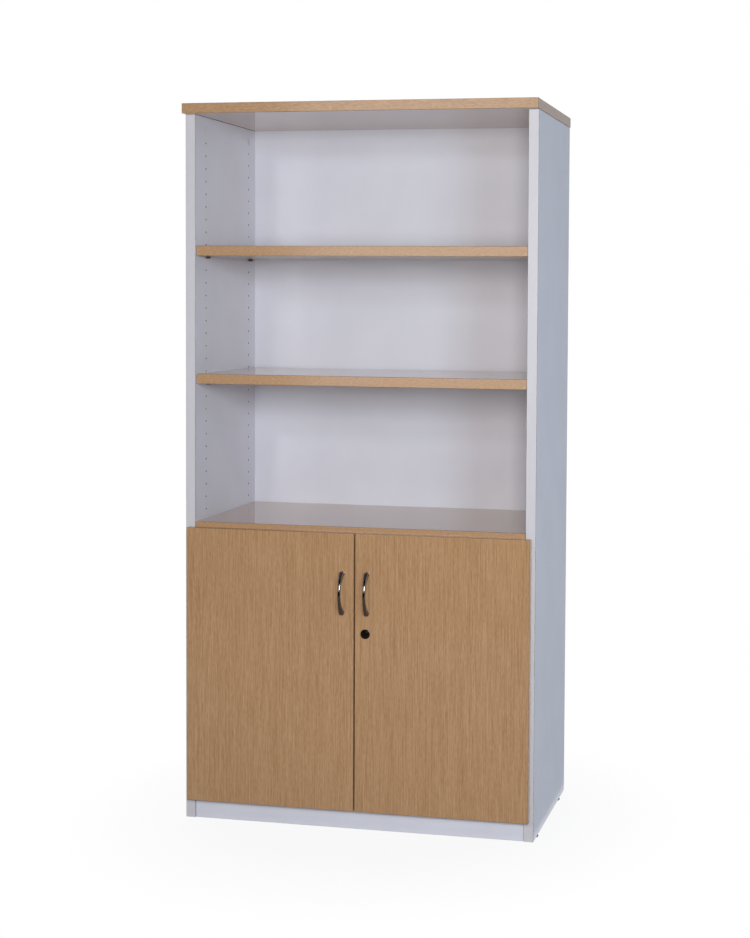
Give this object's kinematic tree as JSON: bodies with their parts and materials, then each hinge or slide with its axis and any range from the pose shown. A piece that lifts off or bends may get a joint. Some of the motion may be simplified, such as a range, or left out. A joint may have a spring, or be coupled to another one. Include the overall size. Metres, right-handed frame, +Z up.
{
  "type": "bookcase with cabinet doors",
  "caption": "Tall bookcase with open bays on adjustable shelves above a cupboard closed by two locking hinged doors.",
  "frame": {"origin": "on the floor, under the middle of the box around the whole bookcase with its handles", "axes": "+Z up, the doors face -Y, +X to the right of someone facing the doors"},
  "size_m": [0.9, 0.479, 1.8],
  "materials": {
    "white_board": "white melamine-faced board, satin",
    "back_board": "white melamine-faced board, satin",
    "beech_board": "beech-look melamine-faced board with a fine straight grain, satin",
    "handle_chrome": "polished chrome",
    "zinc_steel": "bright zinc plating",
    "nickel_steel": "satin nickel plating",
    "pin_steel": "plain dark steel",
    "lock_black": "black, half gloss",
    "buffer_plastic": "soft clear plastic",
    "cap_plastic": "moulded white plastic",
    "glide_plastic": "moulded black plastic",
    "dowel_wood": "plain fluted beech, unfinished"
  },
  "bodies": {
    "carcass": {"side_panel_left": "white_board", "side_panel_right": "white_board", "back_panel": "back_board", "plinth_rail": "white_board", "top_panel": "beech_board", "fixed_shelf": "beech_board", "bottom_panel": "beech_board", "left_hinge_arms": "nickel_steel", "right_hinge_arms": "nickel_steel", "left_hinge_plates": "nickel_steel", "right_hinge_plates": "nickel_steel", "hinge_plate_screws": "zinc_steel", "hinge_arm_screws": "zinc_steel", "upper_shelf_pins": "pin_steel", "lower_shelf_pins": "pin_steel", "cupboard_shelf_pins": "pin_steel", "cam_nuts": "zinc_steel", "cam_bolts": "zinc_steel", "cam_caps": "cap_plastic", "wood_dowels": "dowel_wood", "back_panel_screws": "zinc_steel", "floor_glides": "glide_plastic"},
    "left_door": {"left_door": "beech_board", "left_handle": "handle_chrome", "left_handle_screws": "zinc_steel", "left_hinge_cups": "nickel_steel", "left_hinge_links": "nickel_steel", "left_cup_screws": "zinc_steel", "left_door_buffers": "buffer_plastic", "lock_keeper": "zinc_steel", "keeper_screws": "zinc_steel", "bolt_guide": "nickel_steel", "bolt_guide_screws": "zinc_steel"},
    "right_door": {"right_door": "beech_board", "right_handle": "handle_chrome", "right_handle_screws": "zinc_steel", "right_hinge_cups": "nickel_steel", "right_hinge_links": "nickel_steel", "right_cup_screws": "zinc_steel", "right_door_buffers": "buffer_plastic", "lock_body": "lock_black", "lock_nut": "zinc_steel"},
    "lock_plug": {"lock_plug": "lock_black", "lock_tongue": "zinc_steel", "tongue_screw": "zinc_steel"},
    "left_bolt": {"left_bolt": "nickel_steel"},
    "upper_shelf": {"upper_shelf": "beech_board"},
    "lower_shelf": {"lower_shelf": "beech_board"},
    "cupboard_shelf": {"cupboard_shelf": "beech_board"}
  },
  "joints": [
    {"name": "left_door_swing", "type": "hinge", "parent": "carcass", "child": "left_door", "pos_m": [-0.4335, -0.2025, 0.4], "axis": [0, 0, -1], "range_deg": [0, 105]},
    {"name": "right_door_swing", "type": "hinge", "parent": "carcass", "child": "right_door", "pos_m": [0.4335, -0.2025, 0.4], "axis": [0, 0, 1], "range_deg": [0, 105]},
    {"name": "lock_turn", "type": "hinge", "parent": "right_door", "child": "lock_plug", "pos_m": [0.028, -0.1905, 0.498], "axis": [0, 1, 0], "range_deg": [0, 90]},
    {"name": "left_bolt_slide", "type": "slide", "parent": "left_door", "child": "left_bolt", "axis": [0, 0, 1], "range_m": [0, 0.014]},
    {"name": "upper_shelf_slide", "type": "slide", "parent": "carcass", "child": "upper_shelf", "axis": [0, -1, 0], "range_m": [0, 0.04]},
    {"name": "lower_shelf_slide", "type": "slide", "parent": "carcass", "child": "lower_shelf", "axis": [0, -1, 0], "range_m": [0, 0.04]},
    {"name": "cupboard_shelf_slide", "type": "slide", "parent": "carcass", "child": "cupboard_shelf", "axis": [0, -1, 0], "range_m": [0, 0.022]}
  ]
}
